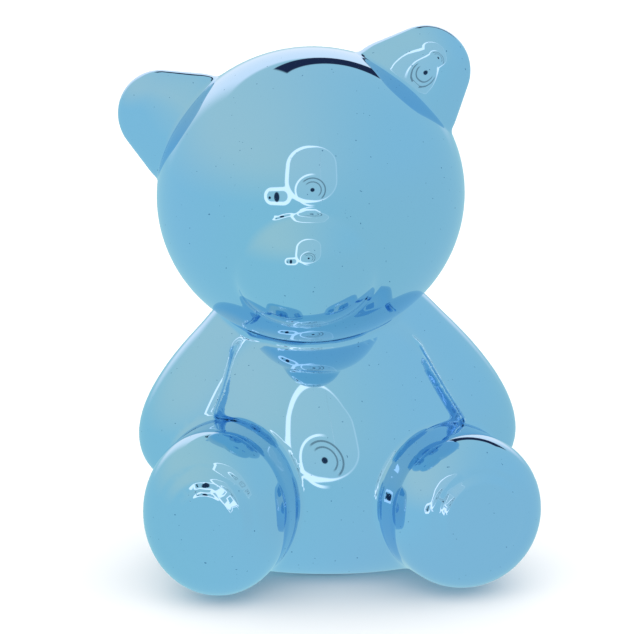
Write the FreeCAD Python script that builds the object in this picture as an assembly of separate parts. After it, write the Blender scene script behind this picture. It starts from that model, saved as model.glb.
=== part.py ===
"""Teddy-bear money bank: one hollow slip-cast ceramic body, a rubber stopper in
its base and four anti-slip pads.

Millimetres. +Z is up, the bear faces -Y, +X is its left-hand side, and z = 0 is
the surface that it stands on.
"""
import FreeCAD, Part
import math
import os

from FreeCAD import Matrix, Placement, Rotation, Vector

# ---------------------------------------------------------------- dimensions
# Centres and radii are those of the outer, glazed surface, as (x, y, z).
WALL = 4.0                       # thickness of the casting
PAD_THICKNESS = 1.0              # the body stands on pads, this far off the surface
BASE_Z = PAD_THICKNESS

BELLY_CENTRE = (0.0, 4.0, 16.0)
BELLY_RADII = (48.0, 31.5, 52.0)
BELLY_LOW_RADIUS = 21.0          # height of the rounder half below the belly's centre
TRUNK_CENTRE = (0.0, 9.0, 36.5)
TRUNK_RADII = (41.0, 24.0, 46.0)

ARM_CENTRE = (35.8, 3.5, 48.0)   # the left arm; the right one is its mirror image
ARM_RADII = (15.5, 14.0, 28.0)
ARM_SPREAD = 26.0                # degrees that the hand swings outwards
ARM_REACH = 18.0                 # degrees that the hand swings forwards

# Each leg is a round bar: (x, z) radii, splay outwards and lift of the toes in degrees.
LEGS = {
    "right": {"centre": (-30.4, -22.0, 23.5), "radii": (20.4, 23.0), "splay": 17.5, "lift": 4.5},
    "left": {"centre": (32.9, -22.0, 22.2), "radii": (21.9, 21.6), "splay": 13.5, "lift": 4.0},
}
LEG_LENGTH = 46.0                # from the hip, inside the belly, to the sole
LEG_EDGE_RADIUS = 14.5           # rounding between the sole and the side

HEAD_CENTRE = (-4.6, -3.0, 106.5)
HEAD_RADII = (42.6, 40.0, 40.8)
HEAD_ROLL = 10.5                 # degrees, cocked towards the bear's right shoulder
HEAD_YAW = -11.0                 # degrees, turned towards the bear's right
MUZZLE_CENTRE = (-0.6, -25.0, -9.8)  # from the head's centre, in the head's own axes
MUZZLE_RADII = (21.0, 20.0, 20.0)

EAR_ANGLE = 52.5                 # degrees from the crown
EAR_DISTANCE = 46.8              # from the head's centre to the centre of the ear's tip
EAR_OFFSET_Y = 3.0
EAR_TIP_RADIUS = 12.3
EAR_ROOT_RADIUS = 16.8
EAR_ROOT_DEPTH = 11.0            # from the tip's centre inwards to the root's centre
EAR_FLATNESS = 1.8               # width of an ear over its thickness
EAR_DISH_RADIUS = 8.0
EAR_DISH_DEPTH = 1.6

NECK_PASSAGE_CENTRE = (-1.0, 7.0, 70.0)  # joins the hollow of the trunk to that of the head
NECK_PASSAGE_RADII = (17.0, 11.0, 13.0)

SLOT_WIDTH = 36.0
SLOT_HEIGHT = 5.0
SLOT_RISE = 12.5                 # above the head's centre
SLOT_END_RADIUS = 2.4

HOLE_CENTRE = (0.0, 4.0)
HOLE_RADIUS = 14.0
RECESS_RADIUS = 17.5
RECESS_DEPTH = 4.0

STOPPER_GAP = 0.3                # between the stopper and the hole that it plugs
FLANGE_RADIUS = 16.5
FLANGE_THICKNESS = 2.0
FLANGE_SEAT_GAP = 0.1
WAIST_DEPTH = 1.2                # groove that the edge of the hole sits in
LIP_HEIGHT = 4.0
LIP_EDGE_RADIUS = 1.2
PLUG_HOLLOW_RADIUS = 7.2
PLUG_FLOOR = 2.0                 # rubber left between the grip and the hollow
GRIP_RADIUS = 7.0
GRIP_BAR_WIDTH = 3.0
GRIP_DEPTH = 4.0

PAD_RADIUS = 3.6
PAD_SETBACK = 3.0                # front pads: this far towards the hip from the leg's middle
PAD_REAR = (22.5, 12.0)          # under the rim of the base

SIDES = {"right": -1, "left": 1}  # the bear's own right and left
BACK = 90.0                      # the direction +Y, in degrees about +Z


# ------------------------------------------------------------------ helpers
def shrunk(radii, by):
    """Radii of the same solid with its surface moved inwards."""
    return tuple(radius - by for radius in radii)


def mirrored(point, side):
    """A point of the left-hand side, moved to the side asked for."""
    return (point[0] * side, point[1], point[2])


def stretched(shape, factors):
    """A copy scaled by a different factor along each axis."""
    matrix = Matrix()
    matrix.scale(*factors)
    return shape.transformGeometry(matrix)


def ellipsoid(centre, radii, rotation=Rotation(), seam=BACK, low=-90.0, high=90.0):
    """A stretched ball, or a slice of one between two latitudes.

    The seam of its surface faces the direction given, in degrees about +Z.
    """
    ball = Part.makeSphere(1.0, Vector(0, 0, 0), Vector(0, 0, 1), low, high, 360.0)
    matrix = Matrix()
    matrix.rotateZ(math.radians(seam))
    matrix.scale(*radii)
    solid = ball.transformGeometry(matrix)
    solid.Placement = Placement(Vector(*centre), rotation)
    return solid


def fused(shapes):
    """One solid from many, joined one at a time."""
    total = shapes[0]
    for shape in shapes[1:]:
        total = total.fuse(shape)
    return total


def circular_edges_at(solid, heights):
    """Edges that are whole circles at the given heights."""
    return [
        edge for edge in solid.Edges
        if len(edge.Vertexes) == 1
        and any(abs(edge.BoundBox.Center.z - height) < 0.01 for height in heights)
    ]


# ---------------------------------------------------------------- the casting
ROLL = Rotation(Vector(0, 1, 0), -HEAD_ROLL)
YAW = Rotation(Vector(0, 0, 1), HEAD_YAW)
HEAD_ROTATION = ROLL.multiply(YAW)


def in_head(point):
    """A point given in the head's own axes, in the bear's frame."""
    return Vector(*HEAD_CENTRE) + HEAD_ROTATION.multVec(Vector(*point))


def belly(inset=0.0):
    """An egg: tall above its centre, short and round below it."""
    upper_radii = shrunk(BELLY_RADII, inset)
    lower_radii = shrunk(BELLY_RADII[:2] + (BELLY_LOW_RADIUS,), inset)
    upper = ellipsoid(BELLY_CENTRE, upper_radii, low=0.0)
    lower = ellipsoid(BELLY_CENTRE, lower_radii, high=0.0)
    return upper.fuse(lower)


def arm(side, inset=0.0):
    reach = Rotation(Vector(1, 0, 0), -ARM_REACH)
    spread = Rotation(Vector(0, 1, 0), -side * ARM_SPREAD)
    outwards = 0.0 if side > 0 else 180.0
    centre = mirrored(ARM_CENTRE, side)
    return ellipsoid(centre, shrunk(ARM_RADII, inset), reach.multiply(spread), outwards)


def leg(side_name, inset=0.0):
    """A bar with rounded ends, lying from the hip to the sole."""
    size = LEGS[side_name]
    length = LEG_LENGTH - 2 * inset
    across, upright = shrunk(size["radii"], inset)
    bar = Part.makeCylinder(across, length, Vector(0, 0, -length / 2))
    bar = bar.makeFillet(LEG_EDGE_RADIUS - inset, circular_edges_at(bar, (-length / 2, length / 2)))
    bar = stretched(bar, (1.0, upright / across, 1.0))
    splay = Rotation(Vector(0, 0, 1), SIDES[side_name] * size["splay"])
    lie_down = Rotation(Vector(1, 0, 0), 90.0 - size["lift"])
    bar.Placement = Placement(Vector(*size["centre"]), splay.multiply(lie_down))
    return bar


def ear_blank():
    """A flattened round cone standing on +Z, with a shallow dish in its front."""
    lean = math.asin((EAR_ROOT_RADIUS - EAR_TIP_RADIUS) / EAR_ROOT_DEPTH)
    quarter = math.pi / 2

    def on_arc(radius, base_z, angle):
        return Vector(radius * math.cos(angle), 0, base_z + radius * math.sin(angle))

    def tip(angle):
        return on_arc(EAR_TIP_RADIUS, 0.0, angle)

    def root(angle):
        return on_arc(EAR_ROOT_RADIUS, -EAR_ROOT_DEPTH, angle)

    outline = [
        Part.Arc(tip(quarter), tip((quarter + lean) / 2), tip(lean)),
        Part.LineSegment(tip(lean), root(lean)),
        Part.Arc(root(lean), root((lean - quarter) / 2), root(-quarter)),
        Part.LineSegment(root(-quarter), tip(quarter)),
    ]
    profile = Part.Face(Part.Wire([piece.toShape() for piece in outline]))
    blank = profile.revolve(Vector(0, 0, 0), Vector(0, 0, 1), 360.0)
    blank = stretched(blank, (1.0, 1.0 / EAR_FLATNESS, 1.0))
    dish_ball = (EAR_DISH_RADIUS ** 2 + EAR_DISH_DEPTH ** 2) / (2 * EAR_DISH_DEPTH)
    front_y = -EAR_TIP_RADIUS / EAR_FLATNESS
    dish = Part.makeSphere(dish_ball, Vector(0, front_y + EAR_DISH_DEPTH - dish_ball, 0))
    return blank.cut(dish)


def ear(side):
    """One ear, standing out of the head at its angle from the crown."""
    angle = math.radians(EAR_ANGLE)
    spot = (side * math.sin(angle) * EAR_DISTANCE, EAR_OFFSET_Y, math.cos(angle) * EAR_DISTANCE)
    tilt = Rotation(Vector(0, 1, 0), side * EAR_ANGLE)
    solid = ear_blank()
    solid.Placement = Placement(in_head(spot), HEAD_ROTATION.multiply(tilt))
    return solid


def masses(inset=0.0):
    """The round masses of the bear, or the hollows inside them with an inset."""
    shapes = [
        belly(inset),
        ellipsoid(TRUNK_CENTRE, shrunk(TRUNK_RADII, inset)),
        ellipsoid(HEAD_CENTRE, shrunk(HEAD_RADII, inset), HEAD_ROTATION),
        ellipsoid(in_head(MUZZLE_CENTRE), shrunk(MUZZLE_RADII, inset), HEAD_ROTATION),
    ]
    for side_name, side in SIDES.items():
        shapes.append(leg(side_name, inset))
        shapes.append(arm(side, inset))
    return shapes


def block_below(top_z):
    """A block that takes away everything below a height."""
    size = 300.0
    return Part.makeBox(size, size, size, Vector(-size / 2, -size / 2, top_z - size))


def upright_cylinder(radius, low_z, high_z):
    """A cylinder on the axis of the base hole."""
    return Part.makeCylinder(radius, high_z - low_z, Vector(*HOLE_CENTRE, low_z))


def coin_slot():
    """The cutter for the slot, level, through the back of the head."""
    depth = HEAD_RADII[1] + 10.0
    corner = Vector(*HEAD_CENTRE) + Vector(-SLOT_WIDTH / 2, 15.0, SLOT_RISE - SLOT_HEIGHT / 2)
    cutter = Part.makeBox(SLOT_WIDTH, depth, SLOT_HEIGHT, corner)
    long_edges = [edge for edge in cutter.Edges if edge.BoundBox.YLength > depth / 2]
    return cutter.makeFillet(SLOT_END_RADIUS, long_edges)


def body_shell():
    """The whole bear as one casting, hollow, with its slot and its base hole."""
    recess_top = BASE_Z + RECESS_DEPTH
    outer = fused(masses() + [ear(side) for side in SIDES.values()])
    outer = outer.cut(block_below(BASE_Z))
    hollow = fused(masses(WALL) + [ellipsoid(NECK_PASSAGE_CENTRE, NECK_PASSAGE_RADII)])
    hollow = hollow.cut(block_below(BASE_Z + WALL))
    hollow = hollow.cut(upright_cylinder(RECESS_RADIUS + WALL, 0.0, recess_top + WALL))
    shell = outer.cut(hollow)
    shell = shell.cut(upright_cylinder(RECESS_RADIUS, 0.0, recess_top))
    shell = shell.cut(upright_cylinder(HOLE_RADIUS, 0.0, recess_top + 2 * WALL))
    return shell.cut(coin_slot())


# ----------------------------------------------------------- stopper and pads
def stopper():
    """A soft plug: flange in the recess, waist in the wall, lip inside."""
    seat_z = BASE_Z + RECESS_DEPTH - FLANGE_SEAT_GAP
    flange_z = seat_z - FLANGE_THICKNESS
    waist_top = BASE_Z + RECESS_DEPTH + WALL
    lip_top = waist_top + LIP_HEIGHT
    lip_radius = HOLE_RADIUS - STOPPER_GAP
    flange = upright_cylinder(FLANGE_RADIUS, flange_z, seat_z)
    waist = upright_cylinder(lip_radius - WAIST_DEPTH, seat_z, waist_top)
    lip = upright_cylinder(lip_radius, waist_top, lip_top)
    lip = lip.makeFillet(LIP_EDGE_RADIUS, circular_edges_at(lip, (waist_top, lip_top)))
    plug = fused([flange, waist, lip])
    plug = plug.cut(upright_cylinder(PLUG_HOLLOW_RADIUS, flange_z + GRIP_DEPTH + PLUG_FLOOR, lip_top))
    grip = upright_cylinder(GRIP_RADIUS, flange_z, flange_z + GRIP_DEPTH)
    bar_corner = Vector(HOLE_CENTRE[0] - GRIP_RADIUS, HOLE_CENTRE[1] - GRIP_BAR_WIDTH / 2, flange_z)
    bar = Part.makeBox(2 * GRIP_RADIUS, GRIP_BAR_WIDTH, GRIP_DEPTH, bar_corner)
    return plug.cut(grip.cut(bar))


def pad(x, y):
    return Part.makeCylinder(PAD_RADIUS, PAD_THICKNESS, Vector(x, y, 0))


def front_pad(side_name):
    """A pad under a leg, on the flat where the leg meets the base's plane."""
    size = LEGS[side_name]
    splay = Rotation(Vector(0, 0, 1), SIDES[side_name] * size["splay"])
    spot = Vector(*size["centre"]) + splay.multVec(Vector(0, PAD_SETBACK, 0))
    return pad(spot.x, spot.y)


# ------------------------------------------------------------------- output
os.makedirs("parts", exist_ok=True)
parts = {"body_shell": body_shell(), "stopper": stopper()}
for side_name, side in SIDES.items():
    parts["pad_front_" + side_name] = front_pad(side_name)
    parts["pad_rear_" + side_name] = pad(side * PAD_REAR[0], PAD_REAR[1])

# The origin is under the middle of the whole bear's box.
whole = Part.makeCompound(list(parts.values())).optimalBoundingBox()
to_origin = Vector(-whole.Center.x, -whole.Center.y, 0)
print(f"moved by x {to_origin.x:.3f} y {to_origin.y:.3f}")
for name, shape in parts.items():
    shape.translate(to_origin)
    box = shape.optimalBoundingBox()
    print(
        f"{name:16s} solids {len(shape.Solids)} valid {shape.isValid()} volume {shape.Volume:9.0f}"
        f"  x {box.XMin:6.2f} {box.XMax:6.2f}  y {box.YMin:6.2f} {box.YMax:6.2f}"
        f"  z {box.ZMin:6.2f} {box.ZMax:6.2f}"
    )
    shape.exportStep("parts/" + name + ".step")
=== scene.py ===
"""Looks of the teddy-bear money bank: mirror-plated ceramic bear, rubber stopper and clear pads.

The frame is the CAD model's: metres, +Z up, the bear faces -Y, +X is its left. Shapes are worked
out in millimetres as signed distances, negative inside, then meshed and scaled to metres.
"""
import math

import bmesh
import bpy
import numpy as np
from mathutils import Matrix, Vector


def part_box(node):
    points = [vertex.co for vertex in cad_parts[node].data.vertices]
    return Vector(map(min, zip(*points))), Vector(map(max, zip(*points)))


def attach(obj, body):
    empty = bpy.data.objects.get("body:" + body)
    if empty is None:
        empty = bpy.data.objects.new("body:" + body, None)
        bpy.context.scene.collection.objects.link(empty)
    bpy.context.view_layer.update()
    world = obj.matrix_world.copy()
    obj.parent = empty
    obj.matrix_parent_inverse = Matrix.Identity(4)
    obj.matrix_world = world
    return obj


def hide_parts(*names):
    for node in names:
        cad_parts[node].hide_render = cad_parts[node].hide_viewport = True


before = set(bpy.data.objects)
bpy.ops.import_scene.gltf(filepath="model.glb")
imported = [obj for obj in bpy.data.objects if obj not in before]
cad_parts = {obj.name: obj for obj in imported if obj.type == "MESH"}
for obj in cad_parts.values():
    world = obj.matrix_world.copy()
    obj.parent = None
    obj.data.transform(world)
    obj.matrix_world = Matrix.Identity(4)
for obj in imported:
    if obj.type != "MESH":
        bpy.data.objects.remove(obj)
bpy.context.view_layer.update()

MM = 0.001

# ------------------------------------------------------------------ dimensions
# The casting, in millimetres, in axes whose origin is under the middle of the trunk.
WALL = 4.0
BASE_Z = 1.0                     # the pads hold the casting this far off the surface
BASE_EDGE = 1.5                  # rounding round the flat base

BELLY_CENTRE = (0.0, 4.0, 16.0)
BELLY_RADII = (48.0, 31.5, 52.0)
BELLY_LOW_RADIUS = 21.0
TRUNK_CENTRE = (0.0, 9.0, 36.5)
TRUNK_RADII = (41.0, 24.0, 46.0)
BELLY_YAW = -6.0                 # the belly is turned a little, as the head is
BELLY_TWIST = (30.0, 70.0)       # and the turn fades out between these heights
TRUNK_BLEND = 6.0                # blends: how widely two masses run into each other

ARM_CENTRE = (27.4, 5.0, 55.3)
ARM_RADII = (16.4, 12.8, 36.0)
ARM_SPREAD = 35.0
ARM_REACH = 11.0
ARM_TURN = 40.0                  # the flat of the arm faces this far outwards
ARM_SHIFT = 1.1                  # both arms sit this far to the bear's left
ARM_BLEND = 1.0
SHOULDER_BLEND = 9.0
SHOULDER_HEIGHTS = (58.0, 80.0)  # the crease of the arm fades out between these heights
ARM_TAPER = 0.31                 # how much slimmer the shoulder is than the hand
ARM_STEP_DEPTH = 2.2             # the arm's inner edge drops this much, which makes its crease
ARM_STEP_WIDTH = 2.4

LEGS = {
    "right": {
        "side": -1,
        "centre": (-30.4, -22.0, 23.5),
        "radii": (20.4, 23.0),           # across, upright
        "splay": 17.5,
        "lift": 4.5,
    },
    "left": {
        "side": 1,
        "centre": (32.9, -22.0, 22.2),
        "radii": (21.9, 21.6),
        "splay": 13.5,
        "lift": 4.0,
    },
}
LEG_LENGTH = 46.0
LEG_EDGE_RADIUS = 14.5
LEG_BLEND = 2.0
# Shallow grooves round each sole: radius, width, depth.
SOLE_RINGS = [(12.6, 3.0, 0.5), (8.6, 2.6, 0.2)]

HEAD_CENTRE = (-4.6, -3.0, 106.5)
HEAD_RADII = (42.6, 40.0, 40.8)
HEAD_ROLL = 10.5
HEAD_YAW = -11.0
MUZZLE_CENTRE = (-0.6, -26.0, -11.3)
MUZZLE_RADII = (21.0, 20.0, 18.5)
MUZZLE_BLEND = 1.5               # tight under the chin
MUZZLE_TOP_BLEND = 2.0           # a little softer towards the forehead
MUZZLE_FADE = (-12.0, 8.0)       # and it changes between these heights from the head's centre
NECK_BLEND = 3.0

EAR_ANGLE = 52.5
EAR_DISTANCE = 46.8
EAR_OFFSET_Y = 3.0
EAR_YAW = -5.0                   # both ears face a little to the bear's right
EAR_PITCH = -4.5                 # and up
EAR_TIP_RADIUS = 12.3
EAR_ROOT_RADIUS = 16.8
EAR_ROOT_DEPTH = 11.0
EAR_FLATNESS = 1.8
EAR_SLOPE = 0.8                  # scales the flattened cone's distance, which rises too steeply
EAR_BLEND = 1.2
EAR_DISH_RADIUS = 9.5
EAR_DISH_DEPTH = 0.7

NECK_PASSAGE_CENTRE = (-1.0, 7.0, 70.0)
NECK_PASSAGE_RADII = (17.0, 11.0, 13.0)

SLOT_WIDTH = 36.0
SLOT_HEIGHT = 5.0
SLOT_RISE = 12.5
SLOT_START = 15.0                # the cutter starts this far behind the middle of the head
SLOT_ROUNDING = 0.48             # of its height: the ends are all but half round
SLOT_EDGE = 2.0                  # the glaze rounds the mouth of the slot this much

HOLE_CENTRE = (0.0, 4.0)
HOLE_RADIUS = 14.0
RECESS_RADIUS = 17.5
RECESS_DEPTH = 4.0
RECESS_EDGE = 0.6
HOLE_EDGE = 1.2

# The stopper, from its flange up.
STOPPER_GAP = 0.3                # between it and the hole that it plugs
FLANGE_RADIUS = 16.5
FLANGE_THICKNESS = 2.0
FLANGE_SEAT_GAP = 0.1
FLANGE_EDGE = 0.7
FLANGE_GROOVE = (14.4, 0.5, 0.45)  # a shallow groove round its face: radius, width, depth
FLANGE_GROOVE_FADE = (0.5, 1.0)  # it fades out between these heights above the face
WAIST_DEPTH = 1.2
WAIST_INSET = 0.5                # the waist's ends hide this far inside the flange and the lip
LIP_HEIGHT = 4.0
LIP_EDGE = 1.5
PLUG_HOLLOW_RADIUS = 7.2
PLUG_FLOOR = 2.0
GRIP_RADIUS = 7.0
GRIP_BAR_WIDTH = 3.0
GRIP_DEPTH = 4.0
RUBBER_EDGE = 0.5                # moulded edges

PAD_EDGE = 0.35
PAD_GLUE = 0.06                  # the pad's back sinks this far into the casting
PADS = ("pad_front_left", "pad_front_right", "pad_rear_left", "pad_rear_right")

CASTING_LOW = (-60.0, -50.0, -2.0)  # the corners of the grid that the casting is meshed in
CASTING_HIGH = (60.0, 42.0, 156.0)
GRID = 1.6                       # first mesh of the casting
STOPPER_GRID = 0.5
PAD_GRID = 0.24
GRID_MARGIN = 1.0                # empty grid round the stopper and the pads
BARE_DEPTH = 0.75                # of the wall: faces further in than this are the bare inside
NORMAL_STEP = 0.02               # how far on each side a distance's slope is measured
LEAST_SLOPE2 = 0.05              # the least squared slope that a move onto the surface trusts
REFINE_ANGLE = 9.0               # degrees between normals above which an edge is split
REFINE_SHORTEST = 0.6            # no edge under this length is split
REFINE_ROUNDS = 2

# The camera: a long lens, a little above the bear and to its right.
CAMERA_AZIMUTH = -6.0
CAMERA_ELEVATION = 13.0
CAMERA_DISTANCE = 0.8
CAMERA_LENS = 162.2
CAMERA_SENSOR = 36.0
CAMERA_SUBJECT = (0.0, 0.0, 73.0)  # millimetres, in the casting's axes
CAMERA_OFFSET = (-0.00252, -0.00196)  # aims this far right and up of the subject

# What the mirror surface sees round it, as linear colours.
TENT_LEFT = (0.58, 0.77, 0.74)
TENT_RIGHT = (0.40, 0.69, 0.78)
TENT_LOW_LEFT = (0.39, 0.71, 0.79)
TENT_LOW_RIGHT = (0.41, 0.68, 0.75)
TENT_DRIFT = (-0.9, 0.9)         # the sideways stretch over which the cloth turns to TENT_RIGHT
TENT_RISE = (-0.1, 0.6)          # and the upward one over which it leaves its low colours
BACKDROP = (1.05, 1.06, 1.10)
ROOM_BRIGHTNESS = 1.4            # of the cloth as the floor and the camera see it
GAP_COLOUR = (0.02, 0.03, 0.07)
GAP_LOW = (0.65, -0.26)          # the dark gap's lower edge: its elevation's sine, slope sideways
GAP_HIGH = (0.79, -0.22)         # and its upper edge
GAP_SPAN = (-0.24, 0.90)         # how far it runs to the bear's right and left of straight back
GAP_ENDS = 0.05                  # how soft its ends are
GAP_SOFT = 0.008                 # and its edges
BACKDROP_SPAN = 0.4              # the backdrop's half width, as a tangent
BACKDROP_SOFT = 0.6
BACKDROP_TOP = (0.66, 0.60)      # sines between which it starts, from above
BACKDROP_FOOT = (-0.02, 0.22)    # and between which it rises out of the floor's reflection
LEAST_BACKWARDS = 0.001          # keeps tangents from straight back finite
FLOOR_REACH = 4.0

# The opening in the tent for the camera, as tangents (right, up) of angles from its direction.
OPENING = {"centre": (-0.01, 0.25), "half": (0.31, 0.40), "corner": 0.28}
OPENING_FOLD = {"centre": (-0.46, -0.08), "half": (0.18, 0.10), "corner": 0.095}
OPENING_FACING = (0.2, 0.3)      # cosines between which the opening starts to be in front
OPENING_NEAREST = 0.05           # the least cosine that a tangent divides by
OPENING_BLEND = 0.06             # how widely the fold runs into the opening
OPENING_SOFT = 0.02
OPENING_COLOUR = (0.62, 0.80, 0.82)
OPENING_SHARE = 0.35             # how much of that colour shows
OPENING_RIM = (0.006, 0.026)     # the bright hem's half width, on the right and on the left
HEM_COLOUR = (1.35, 1.35, 1.35)
HEM_WIDENING = 0.15              # it widens between this far right and left
HEM_FADE = (0.25, 0.05)          # it brightens between these, from the right
HEM_LEAST = 0.25                 # and this much of it shows on the far right
EDGE_SOFT = 0.006                # softness of the hem, the hood and the rings
LENS_COLOUR = (0.02, 0.04, 0.08)
LENS_SPOTS = [                   # centre and half size of the lens's dark dots
    ((0.0, 0.0), (0.026, 0.026)),
    ((-0.46, -0.09), (0.04, 0.07)),
    ((-0.57, -0.10), (0.02, 0.02)),
]
LENS_SPOT_EDGE = (1.3, 0.7)      # squared size between which a dot fades in
LENS_HOOD = (0.205, 0.008)       # radius and half width of the bright ring on the lens's left
LENS_HOOD_FADE = 0.05
LENS_RINGS = [(0.105, 0.004), (0.155, 0.005)]  # and of the dark ones on its upper right
LENS_RING_FADE = 0.03
LENS_RING_SHARE = 0.6


# --------------------------------------------------------- distances (arrays)
def turn(axis, degrees):
    """A rotation matrix about a named axis."""
    angle = math.radians(degrees)
    c, s = math.cos(angle), math.sin(angle)
    return {
        "x": np.array([[1, 0, 0], [0, c, -s], [0, s, c]]),
        "y": np.array([[c, 0, s], [0, 1, 0], [-s, 0, c]]),
        "z": np.array([[c, -s, 0], [s, c, 0], [0, 0, 1]]),
    }[axis]


def soft_min(a, b, width):
    """Union of two distances with a fillet."""
    overlap = np.maximum(width - np.abs(a - b), 0) / width
    return np.minimum(a, b) - overlap * overlap * width * 0.25


def soft_max(a, b, width):
    """Intersection of two distances with a rounded edge."""
    return -soft_min(-a, -b, width)


def fade(value, low, high):
    """0 below low, 1 above high, smooth between."""
    t = np.clip((value - low) / (high - low), 0, 1)
    return t * t * (3 - 2 * t)


def ellipsoid(points, centre, radii, axes=None):
    q = points - np.array(centre, float)
    if axes is not None:
        q = q @ axes
    radii = np.array(radii, float)
    scaled = np.linalg.norm(q / radii, axis=-1)
    steepness = np.linalg.norm(q / (radii * radii), axis=-1)
    return scaled * (scaled - 1) / np.maximum(steepness, 1e-9)


def round_cone(points, root_depth, tip_radius, root_radius):
    """Two balls on the Z axis, the tip's at the origin, with the cone that touches both."""
    length2 = root_depth * root_depth
    slope = tip_radius - root_radius
    flank2 = length2 - slope * slope
    along = points[..., 2] * -root_depth
    beyond = along - length2
    offset = points * length2 - np.stack(
        [np.zeros_like(along), np.zeros_like(along), along * -root_depth], -1
    )
    across2 = (offset ** 2).sum(-1)
    tip2 = along * along * length2
    root2 = beyond * beyond * length2
    k = np.sign(slope) * slope * slope * across2
    at_root = np.sqrt(across2 + root2) / length2 - root_radius
    at_tip = np.sqrt(across2 + tip2) / length2 - tip_radius
    on_flank = (np.sqrt(across2 * flank2 / length2) + along * slope) / length2 - tip_radius
    near_root = np.sign(beyond) * flank2 * root2 > k
    near_tip = np.sign(along) * flank2 * tip2 < k
    return np.where(near_root, at_root, np.where(near_tip, at_tip, on_flank))


def rounded_bar(q, across, upright, half, edge):
    """A bar along Y with an oval section and rounded ends."""
    radial = np.hypot(q[..., 0], q[..., 2] * across / upright) - (across - edge)
    axial = np.abs(q[..., 1]) - (half - edge)
    outside = np.hypot(np.maximum(radial, 0), np.maximum(axial, 0))
    return outside + np.minimum(np.maximum(radial, axial), 0) - edge


def cylinder(points, centre, radius, low, high, edge=0.0):
    """An upright cylinder, its edges rounded."""
    radial = np.hypot(points[..., 0] - centre[0], points[..., 1] - centre[1]) - radius + edge
    axial = np.abs(points[..., 2] - (low + high) / 2) - (high - low) / 2 + edge
    outside = np.hypot(np.maximum(radial, 0), np.maximum(axial, 0))
    return outside + np.minimum(np.maximum(radial, axial), 0) - edge


def box(points, low, high, edge):
    """A block with rounded edges."""
    low, high = np.array(low, float), np.array(high, float)
    q = np.abs(points - (low + high) / 2) - (high - low) / 2 + edge
    return np.linalg.norm(np.maximum(q, 0), axis=-1) + np.minimum(q.max(-1), 0) - edge


# ---------------------------------------------------------------- the casting
HEAD_AXES = turn("y", -HEAD_ROLL) @ turn("z", HEAD_YAW)


def in_head(point):
    return np.array(HEAD_CENTRE) + HEAD_AXES @ np.array(point, float)


def shrunk(radii, by):
    return tuple(radius - by for radius in radii)


def torso(points, inset=0.0):
    """The trunk with the belly in front, turned a little at the bottom."""
    angle = math.radians(BELLY_YAW) * (1 - fade(points[..., 2], *BELLY_TWIST))
    x, y, z = np.moveaxis(points, -1, 0)
    c, s = np.cos(angle), np.sin(angle)
    points = np.stack([x * c + y * s, y * c - x * s, z], -1)
    high_belly = shrunk(BELLY_RADII, inset)
    low_belly = shrunk((BELLY_RADII[0], BELLY_RADII[1], BELLY_LOW_RADIUS), inset)
    belly = np.where(
        points[..., 2] > BELLY_CENTRE[2],
        ellipsoid(points, BELLY_CENTRE, high_belly),
        ellipsoid(points, BELLY_CENTRE, low_belly),
    )
    trunk = ellipsoid(points, TRUNK_CENTRE, shrunk(TRUNK_RADII, inset))
    return soft_min(belly, trunk, TRUNK_BLEND)


def arm(points, side, inset=0.0):
    """An arm hanging outwards, slimmer at the shoulder."""
    axes = turn("x", -ARM_REACH) @ turn("y", -side * ARM_SPREAD) @ turn("z", side * ARM_TURN)
    centre = np.array([ARM_CENTRE[0] * side + ARM_SHIFT, ARM_CENTRE[1], ARM_CENTRE[2]])
    q = (points - centre) @ axes
    slimness = 1 + ARM_TAPER * np.clip(q[..., 2:] / ARM_RADII[2], -1, 1)
    q = q * np.concatenate([slimness, slimness, np.ones_like(slimness)], -1)
    return ellipsoid(q, (0.0, 0.0, 0.0), shrunk(ARM_RADII, inset))


def sole_ring(q, size):
    """How deep the grooves are that run round a sole."""
    across, upright = size["radii"]
    radius = np.hypot(q[..., 0], q[..., 2] * across / upright)
    groove = 0
    for ring, width, depth in SOLE_RINGS:
        groove = groove + depth * np.exp(-(((radius - ring) * 2 / width) ** 2))
    return groove * fade(-q[..., 1], 0, LEG_LENGTH / 4)


def leg(points, size, inset=0.0):
    """A leg stretched forwards. Its hollow has no grooves in the sole."""
    axes = turn("z", size["side"] * size["splay"]) @ turn("x", -size["lift"])
    q = (points - np.array(size["centre"])) @ axes
    across, upright = shrunk(size["radii"], inset)
    bar = rounded_bar(q, across, upright, LEG_LENGTH / 2 - inset, LEG_EDGE_RADIUS - inset)
    return bar if inset else bar + sole_ring(q, size)


def head(points, inset=0.0):
    """The skull with the muzzle on it."""
    skull = ellipsoid(points, HEAD_CENTRE, shrunk(HEAD_RADII, inset), HEAD_AXES)
    muzzle = ellipsoid(points, in_head(MUZZLE_CENTRE), shrunk(MUZZLE_RADII, inset), HEAD_AXES)
    height = ((points - np.array(HEAD_CENTRE)) @ HEAD_AXES)[..., 2]
    softness = MUZZLE_BLEND + (MUZZLE_TOP_BLEND - MUZZLE_BLEND) * fade(height, *MUZZLE_FADE)
    return soft_min(skull, muzzle, softness)


def ear(points, side):
    """A flattened cone with a round tip, slightly dished in front."""
    angle = math.radians(EAR_ANGLE)
    spot = (side * math.sin(angle) * EAR_DISTANCE, EAR_OFFSET_Y, math.cos(angle) * EAR_DISTANCE)
    axes = HEAD_AXES @ turn("z", EAR_YAW) @ turn("x", EAR_PITCH) @ turn("y", side * EAR_ANGLE)
    q = (points - in_head(spot)) @ axes
    radius2 = (q[..., 0] ** 2 + q[..., 2] ** 2) / EAR_DISH_RADIUS ** 2
    dish = EAR_DISH_DEPTH * np.maximum(1 - radius2, 0) ** 2 * (q[..., 1] < 0)
    flat = q * np.array([1.0, EAR_FLATNESS, 1.0])
    blank = round_cone(flat, EAR_ROOT_DEPTH, EAR_TIP_RADIUS, EAR_ROOT_RADIUS)
    return blank * EAR_SLOPE + dish


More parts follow.
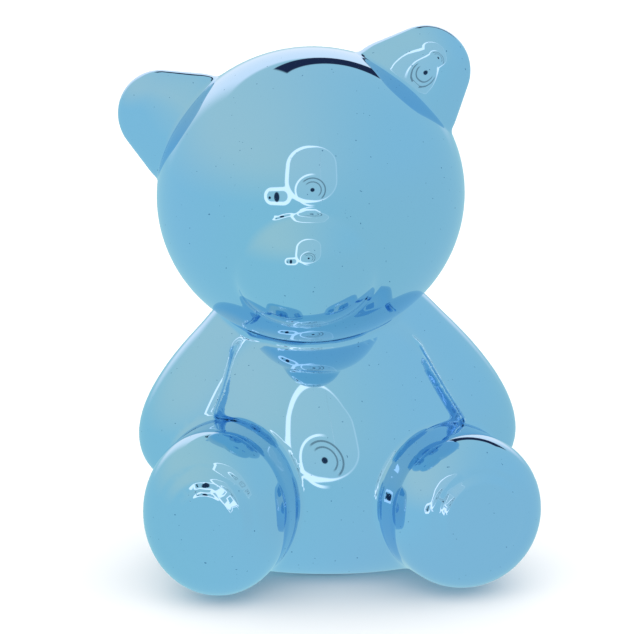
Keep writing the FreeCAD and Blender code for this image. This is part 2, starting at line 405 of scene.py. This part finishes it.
def outer_surface(points):
    """The glazed outside, before the slot and the base hole are cut."""
    trunk = torso(points)
    body = trunk
    shoulder = fade(points[..., 2], *SHOULDER_HEIGHTS)
    softness = ARM_BLEND + (SHOULDER_BLEND - ARM_BLEND) * shoulder
    for side in (-1, 1):
        edge = (1 - fade(trunk, 0, ARM_STEP_WIDTH)) * (1 - shoulder)
        body = soft_min(body, arm(points, side) + ARM_STEP_DEPTH * edge, softness)
    for size in LEGS.values():
        body = soft_min(body, leg(points, size), LEG_BLEND)
    body = soft_max(body, BASE_Z - points[..., 2], BASE_EDGE)
    top = head(points)
    for side in (-1, 1):
        top = soft_min(top, ear(points, side), EAR_BLEND)
    return soft_min(body, top, NECK_BLEND)


def inner_surface(points):
    """The hollow: the same masses one wall further in, joined through the neck."""
    hollow = soft_min(torso(points, WALL), head(points, WALL), NECK_BLEND)
    passage = ellipsoid(points, NECK_PASSAGE_CENTRE, NECK_PASSAGE_RADII)
    hollow = soft_min(hollow, passage, NECK_BLEND)
    for side in (-1, 1):
        hollow = soft_min(hollow, arm(points, side, WALL), ARM_BLEND)
    for size in LEGS.values():
        hollow = soft_min(hollow, leg(points, size, WALL), LEG_BLEND)
    hollow = soft_max(hollow, BASE_Z + WALL - points[..., 2], BASE_EDGE)
    boss_top = BASE_Z + RECESS_DEPTH + WALL
    boss = cylinder(points, HOLE_CENTRE, RECESS_RADIUS + WALL, -WALL, boss_top)
    return soft_max(hollow, -boss, BASE_EDGE)


def casting(points):
    """The whole wall of the bear, with its slot and its base hole."""
    x, y, z = HEAD_CENTRE
    half_width, half_height = SLOT_WIDTH / 2, SLOT_HEIGHT / 2
    back = y + HEAD_RADII[1]
    slot = box(
        points,
        (x - half_width, y + SLOT_START, z + SLOT_RISE - half_height),
        (x + half_width, back + SLOT_START, z + SLOT_RISE + half_height),
        SLOT_HEIGHT * SLOT_ROUNDING,
    )
    recess_top = BASE_Z + RECESS_DEPTH
    recess = cylinder(points, HOLE_CENTRE, RECESS_RADIUS, -recess_top, recess_top, RECESS_EDGE)
    hole = cylinder(points, HOLE_CENTRE, HOLE_RADIUS, -recess_top, recess_top + 2 * WALL)
    wall = soft_max(outer_surface(points), -inner_surface(points), HOLE_EDGE)
    wall = soft_max(wall, -recess, HOLE_EDGE)
    wall = soft_max(wall, -hole, HOLE_EDGE)
    return soft_max(wall, -slot, SLOT_EDGE)


def stopper(points):
    """A soft plug: flange in the recess, waist in the wall, lip inside, a bar to pull it by."""
    seat = BASE_Z + RECESS_DEPTH - FLANGE_SEAT_GAP
    face = seat - FLANGE_THICKNESS
    waist_top = BASE_Z + RECESS_DEPTH + WALL
    lip_top = waist_top + LIP_HEIGHT
    lip_radius = HOLE_RADIUS - STOPPER_GAP
    plug = cylinder(points, HOLE_CENTRE, FLANGE_RADIUS, face, seat, FLANGE_EDGE)
    waist_radius = lip_radius - WAIST_DEPTH
    waist = cylinder(points, HOLE_CENTRE, waist_radius, face + WAIST_INSET, lip_top - WAIST_INSET)
    plug = soft_min(plug, waist, RUBBER_EDGE)
    lip = cylinder(points, HOLE_CENTRE, lip_radius, waist_top, lip_top, LIP_EDGE)
    plug = soft_min(plug, lip, RUBBER_EDGE)
    hollow = cylinder(
        points,
        HOLE_CENTRE,
        PLUG_HOLLOW_RADIUS,
        face + GRIP_DEPTH + PLUG_FLOOR,
        lip_top + WALL,
        RUBBER_EDGE,
    )
    plug = soft_max(plug, -hollow, 2 * RUBBER_EDGE)
    grip_top = face + GRIP_DEPTH
    grip = cylinder(points, HOLE_CENTRE, GRIP_RADIUS, face - WALL, grip_top, RUBBER_EDGE)
    x, y = HOLE_CENTRE
    bar = box(
        points,
        (x - 2 * GRIP_RADIUS, y - GRIP_BAR_WIDTH / 2, face),
        (x + 2 * GRIP_RADIUS, y + GRIP_BAR_WIDTH / 2, face + 2 * GRIP_DEPTH),
        RUBBER_EDGE,
    )
    plug = soft_max(plug, -soft_max(grip, -bar, RUBBER_EDGE), RUBBER_EDGE)
    radius = np.hypot(points[..., 0] - x, points[..., 1] - y)
    fade_start, fade_end = FLANGE_GROOVE_FADE
    under = 1 - fade(points[..., 2], face + fade_start, face + fade_end)
    ring, width, depth = FLANGE_GROOVE
    return plug + depth * np.exp(-(((radius - ring) / width) ** 2)) * under


# --------------------------------------------------------------------- meshing
def gradient(distance, points):
    """The slope of a distance, which is the outward normal on its surface."""
    columns = []
    for axis in np.eye(3) * NORMAL_STEP:
        rise = distance(points + axis) - distance(points - axis)
        columns.append(rise / (2 * NORMAL_STEP))
    return np.stack(columns, -1)


def settled(distance, points, rounds=3):
    """Points moved along the slope until they lie on the surface."""
    for _ in range(rounds):
        slope = gradient(distance, points)
        size = np.maximum((slope ** 2).sum(-1), LEAST_SLOPE2)
        points = points - slope * np.clip(distance(points) / size, -GRID, GRID)[:, None]
    return points


def surface_quads(distance, low, high, step):
    """A quad mesh of a closed surface: one vertex in each grid cell that it crosses."""
    axes = [np.arange(a, b + step, step) for a, b in zip(low, high)]
    grid = np.stack(np.meshgrid(*axes, indexing="ij"), -1)
    value = distance(grid)
    cells = tuple(size - 1 for size in value.shape)
    total = np.zeros(cells + (3,))
    count = np.zeros(cells)
    crossings = []
    for axis in range(3):
        first = [slice(None)] * 3
        second = [slice(None)] * 3
        first[axis], second[axis] = slice(None, -1), slice(1, None)
        a, b = value[tuple(first)], value[tuple(second)]
        edge = np.argwhere((a < 0) != (b < 0))
        at = tuple(edge.T)
        share = a[at] / (a[at] - b[at])
        spot = grid[at].copy()
        spot[:, axis] += share * step
        others = [k for k in range(3) if k != axis]
        touched = []
        for i, j in ((0, 0), (0, 1), (1, 0), (1, 1)):
            cell = edge.copy()
            cell[:, others[0]] -= i
            cell[:, others[1]] -= j
            key = tuple(cell.T)
            np.add.at(total, key, spot)
            np.add.at(count, key, 1)
            touched.append(key)
        crossings.append((axis, touched, a[at] < 0))
    used = tuple(np.argwhere(count > 0).T)
    index = np.full(cells, -1)
    index[used] = np.arange(len(used[0]))
    points = total[used] / count[used][:, None]
    quads = []
    for axis, touched, inside_first in crossings:
        ring = [index[touched[k]] for k in (0, 1, 3, 2)]
        face = np.stack(ring, -1)
        # The ring runs the other way round about the Y axis.
        flip = inside_first if axis != 1 else ~inside_first
        face[flip] = face[flip][:, ::-1]
        quads.append(face)
    return settled(distance, points), np.concatenate(quads)


def refined(distance, points, faces):
    """Splits the edges that turn a sharp bend, so that creases and rims are smooth."""
    work = bmesh.new()
    verts = [work.verts.new(p) for p in points]
    for face in faces:
        work.faces.new([verts[i] for i in face])
    bmesh.ops.triangulate(work, faces=work.faces[:], quad_method="SHORT_EDGE")
    limit = math.cos(math.radians(REFINE_ANGLE))
    for _ in range(REFINE_ROUNDS):
        work.verts.index_update()
        spots = np.array([v.co for v in work.verts])
        slope = gradient(distance, spots)
        slope /= np.linalg.norm(slope, axis=1)[:, None]
        ends = np.array([[v.index for v in e.verts] for e in work.edges])
        bend = (slope[ends[:, 0]] * slope[ends[:, 1]]).sum(1)
        length = np.linalg.norm(spots[ends[:, 0]] - spots[ends[:, 1]], axis=1)
        chosen = (bend < limit) & (length > REFINE_SHORTEST)
        work.edges.ensure_lookup_table()
        split = [work.edges[i] for i in np.flatnonzero(chosen)]
        bmesh.ops.subdivide_edges(work, edges=split, cuts=1, use_grid_fill=True)
        bmesh.ops.triangulate(work, faces=[f for f in work.faces if len(f.verts) > 3])
        work.verts.index_update()
        spots = np.array([v.co for v in work.verts])
        spots[len(slope):] = settled(distance, spots[len(slope):])
        for v, spot in zip(work.verts, spots):
            v.co = spot
    points = np.array([v.co for v in work.verts])
    faces = np.array([[v.index for v in f.verts] for f in work.faces])
    work.free()
    return points, faces


def new_object(name, points, faces, normals):
    """A mesh object in metres, with exact normals."""
    mesh = bpy.data.meshes.new(name)
    mesh.from_pydata((points * MM).tolist(), [], faces.tolist())
    mesh.polygons.foreach_set("use_smooth", np.ones(len(faces), bool))
    mesh.normals_split_custom_set_from_vertices(normals.tolist())
    mesh.update()
    thing = bpy.data.objects.new(name, mesh)
    bpy.context.scene.collection.objects.link(thing)
    return thing


def solid_object(name, distance, low, high, step, to_frame, refine=False):
    """Meshes a distance over a box and puts it in the frame. Also returns its points and faces."""
    points, faces = surface_quads(distance, low, high, step)
    if refine:
        points, faces = refined(distance, points, faces)
    normals = gradient(distance, points)
    normals /= np.linalg.norm(normals, axis=1)[:, None]
    return new_object(name, points + to_frame, faces, normals), points, faces


# ------------------------------------------------------------------ materials
def new_material(name):
    """A material with one Principled shader. Returns it with its tree and that shader."""
    material = bpy.data.materials.new(name)
    material.use_nodes = True
    tree = material.node_tree
    tree.nodes.clear()
    out = tree.nodes.new("ShaderNodeOutputMaterial")
    shader = tree.nodes.new("ShaderNodeBsdfPrincipled")
    tree.links.new(shader.outputs["BSDF"], out.inputs["Surface"])
    return material, tree, shader


def noise(tree, scale, detail):
    """Noise over the object's own coordinates, in features per metre."""
    place = tree.nodes.new("ShaderNodeTexCoord")
    texture = tree.nodes.new("ShaderNodeTexNoise")
    texture.inputs["Scale"].default_value = scale
    texture.inputs["Detail"].default_value = detail
    tree.links.new(place.outputs["Object"], texture.inputs["Vector"])
    return texture.outputs["Fac"]


def ramp(tree, value, stops):
    """A colour ramp between two (position, colour) stops."""
    node = tree.nodes.new("ShaderNodeValToRGB")
    for element, (position, colour) in zip(node.color_ramp.elements, stops):
        element.position = position
        element.color = (*colour, 1.0)
    tree.links.new(value, node.inputs["Fac"])
    return node.outputs["Color"]


def bump(tree, height, strength, distance, after=None):
    """A bump from a height, on top of another bump where one is given."""
    node = tree.nodes.new("ShaderNodeBump")
    node.inputs["Strength"].default_value = strength
    node.inputs["Distance"].default_value = distance
    tree.links.new(height, node.inputs["Height"])
    if after is not None:
        tree.links.new(after, node.inputs["Normal"])
    return node.outputs["Normal"]


def multiplied(tree, first, second):
    """The product of two colours."""
    node = tree.nodes.new("ShaderNodeMix")
    node.data_type = "RGBA"
    node.blend_type = "MULTIPLY"
    node.inputs["Factor"].default_value = 1.0
    tree.links.new(first, node.inputs[6])
    tree.links.new(second, node.inputs[7])
    return node.outputs[2]


class Sums:
    """Arithmetic in a node tree, on sockets or numbers."""

    def __init__(self, tree):
        self.tree = tree

    def do(self, operation, *values):
        """One Math node's result."""
        node = self.tree.nodes.new("ShaderNodeMath")
        node.operation = operation
        for socket, value in zip(node.inputs, values):
            if isinstance(value, (int, float)):
                socket.default_value = value
            else:
                self.tree.links.new(value, socket)
        return node.outputs[0]

    def product(self, first, *others):
        """All the values multiplied together."""
        for other in others:
            first = self.do("MULTIPLY", first, other)
        return first

    def squared(self, x, y):
        """The sum of two squares."""
        return self.do("ADD", self.do("MULTIPLY", x, x), self.do("MULTIPLY", y, y))

    def dot(self, vector, direction):
        node = self.tree.nodes.new("ShaderNodeVectorMath")
        node.operation = "DOT_PRODUCT"
        node.inputs[1].default_value = direction
        self.tree.links.new(vector, node.inputs[0])
        return node.outputs["Value"]

    def between(self, value, low, high, soft):
        """1 where value lies between low and high, falling to 0 over soft on each side."""
        rise = self.step(value, low - soft, low)
        fall = self.step(value, high + soft, high)
        return self.product(rise, fall)

    def step(self, value, start, end):
        """0 at start, 1 at end, smooth between."""
        node = self.tree.nodes.new("ShaderNodeMapRange")
        node.interpolation_type = "SMOOTHSTEP"
        node.inputs["From Min"].default_value = min(start, end)
        node.inputs["From Max"].default_value = max(start, end)
        node.inputs["To Min"].default_value = 0.0 if start < end else 1.0
        node.inputs["To Max"].default_value = 1.0 if start < end else 0.0
        self.tree.links.new(value, node.inputs["Value"])
        return node.outputs["Result"]

    def rounded(self, x, y, centre, half, corner):
        """The distance from a rectangle with rounded corners."""
        parts = []
        for value, middle, reach in zip((x, y), centre, half):
            off_middle = self.do("ABSOLUTE", self.do("SUBTRACT", value, middle))
            parts.append(self.do("SUBTRACT", off_middle, reach - corner))
        outside = [self.do("POWER", self.do("MAXIMUM", part, 0.0), 2.0) for part in parts]
        within = self.do("MINIMUM", self.do("MAXIMUM", *parts), 0.0)
        edge = self.do("SQRT", self.do("ADD", *outside))
        return self.do("SUBTRACT", self.do("ADD", edge, within), corner)

    def mix(self, share, first, second):
        """Two colours mixed, each a socket or a tuple."""
        node = self.tree.nodes.new("ShaderNodeMix")
        node.data_type = "RGBA"
        self.tree.links.new(share, node.inputs["Factor"])
        for socket, colour in ((node.inputs[6], first), (node.inputs[7], second)):
            if isinstance(colour, tuple):
                socket.default_value = (*colour, 1.0)
            else:
                self.tree.links.new(colour, socket)
        return node.outputs[2]

    def blend(self, share, first, second):
        """Two shaders mixed."""
        node = self.tree.nodes.new("ShaderNodeMixShader")
        for socket, source in zip(node.inputs, (share, first, second)):
            self.tree.links.new(source, socket)
        return node.outputs["Shader"]


def tent_cloth(sums, sideways, upwards):
    """The cloth's colour, which drifts from the bear's right to its left and with height."""
    drift = sums.step(sideways, *TENT_DRIFT)
    low = sums.mix(drift, TENT_LOW_LEFT, TENT_LOW_RIGHT)
    high = sums.mix(drift, TENT_LEFT, TENT_RIGHT)
    return sums.mix(sums.step(upwards, *TENT_RISE), low, high)


def plated_glaze():
    """Blue-lacquered mirror plating over glaze: a faint drift of hue, pinholes and orange peel."""
    material, tree, shader = new_material("plated_glaze")
    blues = [(0.35, (0.465, 0.685, 0.860)), (0.65, (0.475, 0.675, 0.900))]
    drift = ramp(tree, noise(tree, 14.0, 1.5), blues)
    rare_specks = [(0.84, (1.0, 1.0, 1.0)), (0.87, (0.35, 0.45, 0.55))]
    pinholes = ramp(tree, noise(tree, 1500.0, 0.0), rare_specks)
    tree.links.new(multiplied(tree, drift, pinholes), shader.inputs["Base Color"])
    peel = bump(tree, noise(tree, 60.0, 1.0), 0.02, 0.0015)
    tree.links.new(bump(tree, pinholes, 0.05, 0.0002, peel), shader.inputs["Normal"])
    shader.inputs["Metallic"].default_value = 1.0
    shader.inputs["Roughness"].default_value = 0.025
    return material


def bare_ceramic():
    """The unplated inside of the casting."""
    material, tree, shader = new_material("bare_ceramic")
    whites = [(0.3, (0.70, 0.71, 0.70)), (0.7, (0.82, 0.83, 0.82))]
    clay = ramp(tree, noise(tree, 60.0, 4.0), whites)
    tree.links.new(clay, shader.inputs["Base Color"])
    tree.links.new(bump(tree, noise(tree, 900.0, 3.0), 0.25, 0.0003), shader.inputs["Normal"])
    shader.inputs["Roughness"].default_value = 0.55
    return material


def stopper_rubber():
    """Matte grey moulded rubber with dusty, slightly shiny worn places."""
    material, tree, shader = new_material("stopper_rubber")
    wear = noise(tree, 120.0, 4.0)
    grey = ramp(tree, wear, [(0.3, (0.018, 0.019, 0.021)), (0.75, (0.045, 0.047, 0.050))])
    tree.links.new(grey, shader.inputs["Base Color"])
    rough = ramp(tree, wear, [(0.3, (0.50, 0.50, 0.50)), (0.7, (0.68, 0.68, 0.68))])
    tree.links.new(rough, shader.inputs["Roughness"])
    tree.links.new(bump(tree, noise(tree, 2600.0, 2.0), 0.3, 0.0002), shader.inputs["Normal"])
    return material


def pad_rubber():
    """Clear soft plastic, slightly cloudy."""
    material, tree, shader = new_material("pad_rubber")
    whites = [(0.3, (0.78, 0.81, 0.83)), (0.7, (0.90, 0.92, 0.93))]
    cloud = ramp(tree, noise(tree, 400.0, 3.0), whites)
    tree.links.new(cloud, shader.inputs["Base Color"])
    tree.links.new(bump(tree, noise(tree, 1800.0, 2.0), 0.15, 0.0002), shader.inputs["Normal"])
    shader.inputs["Roughness"].default_value = 0.3
    shader.inputs["Transmission Weight"].default_value = 0.6
    shader.inputs["IOR"].default_value = 1.45
    return material


def floor_material():
    """Pale and matte from above. Mirror rays see it glow with the cloth's colour, a painted
    reflection with no shadows, and from below it is clear.
    """
    material, tree, shader = new_material("pale_floor")
    whites = [(0.3, (0.91, 0.91, 0.91)), (0.7, (0.93, 0.93, 0.93))]
    grain = ramp(tree, noise(tree, 3.0, 2.0), whites)
    tree.links.new(grain, shader.inputs["Base Color"])
    shader.inputs["Roughness"].default_value = 0.7
    shader.inputs["Specular IOR Level"].default_value = 0.2
    sums = Sums(tree)
    heading = tree.nodes.new("ShaderNodeVectorMath")
    heading.operation = "NORMALIZE"
    tree.links.new(tree.nodes.new("ShaderNodeTexCoord").outputs["Object"], heading.inputs[0])
    # Painted reflection: to mirror rays the floor is an emitter of the cloth's colour rather than
    # a lit surface, so it shows no contact shadows.
    cloth = tree.nodes.new("ShaderNodeEmission")
    sideways = sums.dot(heading.outputs["Vector"], (1, 0, 0))
    upwards = sums.dot(heading.outputs["Vector"], (0, 0, 1))
    tree.links.new(tent_cloth(sums, sideways, upwards), cloth.inputs["Color"])
    ray = tree.nodes.new("ShaderNodeLightPath")
    mirrored = ray.outputs["Is Glossy Ray"]
    lit_or_painted_glow = sums.blend(mirrored, shader.outputs["BSDF"], cloth.outputs["Emission"])
    side = tree.nodes.new("ShaderNodeNewGeometry")
    clear = tree.nodes.new("ShaderNodeBsdfTransparent")
    seen = sums.blend(side.outputs["Backfacing"], lit_or_painted_glow, clear.outputs["BSDF"])
    tree.links.new(seen, tree.nodes["Material Output"].inputs["Surface"])
    return material


# --------------------------------------------------------------------- pieces
def make_bear(to_frame):
    """The casting: plated outside, bare inside."""
    bear, points, faces = solid_object(
        "bear_casting", casting, CASTING_LOW, CASTING_HIGH, GRID, to_frame, refine=True
    )
    bear.data.materials.append(plated_glaze())
    bear.data.materials.append(bare_ceramic())
    depth = -outer_surface(points[faces].mean(1))
    bear.data.polygons.foreach_set("material_index", (depth > BARE_DEPTH * WALL).astype(np.int32))
    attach(bear, "bear")
    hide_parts("body_shell")


def make_stopper(to_frame):
    """The rubber plug, where the CAD's plug is."""
    x, y = HOLE_CENTRE
    reach = FLANGE_RADIUS + GRID_MARGIN
    top = BASE_Z + RECESS_DEPTH + WALL + LIP_HEIGHT + GRID_MARGIN
    low = (x - reach, y - reach, BASE_Z)
    high = (x + reach, y + reach, top)
    plug, _, _ = solid_object("stopper_plug", stopper, low, high, STOPPER_GRID, to_frame)
    plug.data.materials.append(stopper_rubber())
    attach(plug, "stopper")
    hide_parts("stopper")


def bumper_shape(low, high):
    """The distance from a round pad between two corners."""
    middle = (low + high) / 2
    radius = (high[0] - low[0]) / 2

    def distance(points):
        return cylinder(points, middle, radius, low[2], high[2] + PAD_GLUE, PAD_EDGE)

    return distance


def make_pads():
    """Clear bumpers with rounded edges, where the CAD's pads are."""
    clear = pad_rubber()
    for node in PADS:
        low, high = (np.array(corner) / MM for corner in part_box(node))
        disc, _, _ = solid_object(
            node.replace("pad", "bumper"),
            bumper_shape(low, high),
            low - GRID_MARGIN,
            high + GRID_MARGIN,
            PAD_GRID,
            np.zeros(3),
        )
        disc.data.materials.append(clear)
        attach(disc, "bear")
        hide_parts(node)


# ---------------------------------------------------------------------- stage
def make_floor():
    """A square of pale floor under the bear."""
    mesh = bpy.data.meshes.new("floor")
    reach = FLOOR_REACH
    corners = [(-reach, -reach, 0), (reach, -reach, 0), (reach, reach, 0), (-reach, reach, 0)]
    mesh.from_pydata(corners, [], [(0, 1, 2, 3)])
    mesh.materials.append(floor_material())
    floor = bpy.data.objects.new("floor", mesh)
    bpy.context.scene.collection.objects.link(floor)


def camera_opening(sums, place, cloth):
    """The opening that the camera looks through, with its bright hem and the lens in it."""
    ahead, right, up = (sums.dot(place, tuple(axis)) for axis in camera_axes())
    facing = sums.step(ahead, *OPENING_FACING)
    ahead = sums.do("MAXIMUM", ahead, OPENING_NEAREST)
    x, y = sums.do("DIVIDE", right, ahead), sums.do("DIVIDE", up, ahead)

    main, fold = sums.rounded(x, y, **OPENING), sums.rounded(x, y, **OPENING_FOLD)
    window = sums.do("SMOOTH_MIN", main, fold, OPENING_BLEND)
    inside = sums.product(sums.step(window, OPENING_SOFT, -OPENING_SOFT), facing)
    seen = sums.mix(sums.product(inside, OPENING_SHARE), cloth, OPENING_COLOUR)

    right_hem, left_hem = OPENING_RIM
    widening = sums.step(x, HEM_WIDENING, -HEM_WIDENING)
    width = sums.do("ADD", right_hem, sums.product(widening, left_hem - right_hem))
    from_hem = sums.do("SUBTRACT", sums.do("ABSOLUTE", window), width)
    hem = sums.step(from_hem, EDGE_SOFT, -EDGE_SOFT)
    brightness = sums.product(sums.step(x, *HEM_FADE), 1 - HEM_LEAST)
    hem = sums.product(hem, sums.do("ADD", HEM_LEAST, brightness), facing)
    seen = sums.mix(hem, seen, HEM_COLOUR)

    distance = sums.do("SQRT", sums.squared(x, y))

    def ring(radius, half_width):
        return sums.between(distance, radius - half_width, radius + half_width, EDGE_SOFT)

    hood = sums.product(ring(*LENS_HOOD), sums.step(x, LENS_HOOD_FADE, -LENS_HOOD_FADE), facing)
    seen = sums.mix(hood, seen, HEM_COLOUR)
    upper_right = sums.step(sums.do("ADD", x, y), -LENS_RING_FADE, LENS_RING_FADE)
    for size in LENS_RINGS:
        share = sums.product(ring(*size), upper_right, facing, LENS_RING_SHARE)
        seen = sums.mix(share, seen, LENS_COLOUR)
    for (spot_x, spot_y), (half_x, half_y) in LENS_SPOTS:
        across = sums.do("DIVIDE", sums.do("SUBTRACT", x, spot_x), half_x)
        upright = sums.do("DIVIDE", sums.do("SUBTRACT", y, spot_y), half_y)
        spot = sums.step(sums.squared(across, upright), *LENS_SPOT_EDGE)
        seen = sums.mix(sums.product(spot, facing), seen, LENS_COLOUR)
    return seen


def make_world():
    """A white tent. Mirrors see its cool cloth, a bright backdrop and the dark gap over it."""
    world = bpy.data.worlds.new("studio")
    world.use_nodes = True
    tree = world.node_tree
    sums = Sums(tree)
    place = tree.nodes.new("ShaderNodeTexCoord").outputs["Generated"]
    sideways = sums.dot(place, (1, 0, 0))
    backwards = sums.dot(place, (0, 1, 0))
    upwards = sums.dot(place, (0, 0, 1))
    cloth = tent_cloth(sums, sideways, upwards)
    heading = sums.do("DIVIDE", sideways, sums.do("MAXIMUM", backwards, LEAST_BACKWARDS))
    behind = sums.product(
        sums.between(heading, -BACKDROP_SPAN, BACKDROP_SPAN, BACKDROP_SOFT),
        sums.step(upwards, *BACKDROP_TOP),
        sums.step(upwards, *BACKDROP_FOOT),
    )
    seen = sums.mix(behind, cloth, BACKDROP)
    gap = sums.between(heading, *GAP_SPAN, GAP_ENDS)
    for (height, slope), side in ((GAP_LOW, 1), (GAP_HIGH, -1)):
        edge = sums.do("ADD", height, sums.product(heading, slope))
        beyond = sums.product(sums.do("SUBTRACT", upwards, edge), side)
        gap = sums.product(gap, sums.step(beyond, -GAP_SOFT, GAP_SOFT))
    seen = sums.mix(gap, seen, GAP_COLOUR)
    seen = camera_opening(sums, place, seen)
    ray = tree.nodes.new("ShaderNodeLightPath")
    colour = sums.mix(ray.outputs["Is Glossy Ray"], (ROOM_BRIGHTNESS,) * 3, seen)
    tree.links.new(colour, tree.nodes["Background"].inputs["Color"])
    tree.nodes["Background"].inputs["Strength"].default_value = 1.0
    bpy.context.scene.world = world


def camera_axes():
    """Unit vectors from the bear to the camera, to its right and upwards."""
    azimuth, elevation = math.radians(CAMERA_AZIMUTH), math.radians(CAMERA_ELEVATION)
    back = Vector((
        math.sin(azimuth) * math.cos(elevation),
        -math.cos(azimuth) * math.cos(elevation),
        math.sin(elevation),
    ))
    right = Vector((math.cos(azimuth), math.sin(azimuth), 0.0))
    return back, right, back.cross(right)


def make_camera(to_frame):
    """The camera at the photo's angle."""
    back, right, up = camera_axes()
    subject = (Vector(CAMERA_SUBJECT) + Vector(to_frame)) * MM
    camera = bpy.data.objects.new("camera", bpy.data.cameras.new("camera"))
    camera.data.lens = CAMERA_LENS
    camera.data.sensor_width = CAMERA_SENSOR
    camera.location = subject + back * CAMERA_DISTANCE
    aim = subject + right * CAMERA_OFFSET[0] + up * CAMERA_OFFSET[1]
    camera.rotation_mode = "QUATERNION"
    camera.rotation_quaternion = (aim - camera.location).to_track_quat("-Z", "Y")
    bpy.context.scene.collection.objects.link(camera)
    bpy.context.scene.camera = camera


# ----------------------------------------------------------------------- main
# The casting's axes sit in the frame where the hole lines up with the CAD's stopper.
stopper_low, stopper_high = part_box("stopper")
stopper_middle = (np.array(stopper_low) + np.array(stopper_high)) / 2 / MM
TO_FRAME = np.array([stopper_middle[0] - HOLE_CENTRE[0], stopper_middle[1] - HOLE_CENTRE[1], 0.0])

bpy.context.scene.view_settings.view_transform = "Standard"
make_camera(TO_FRAME)
make_world()
make_floor()
make_bear(TO_FRAME)
make_stopper(TO_FRAME)
make_pads()
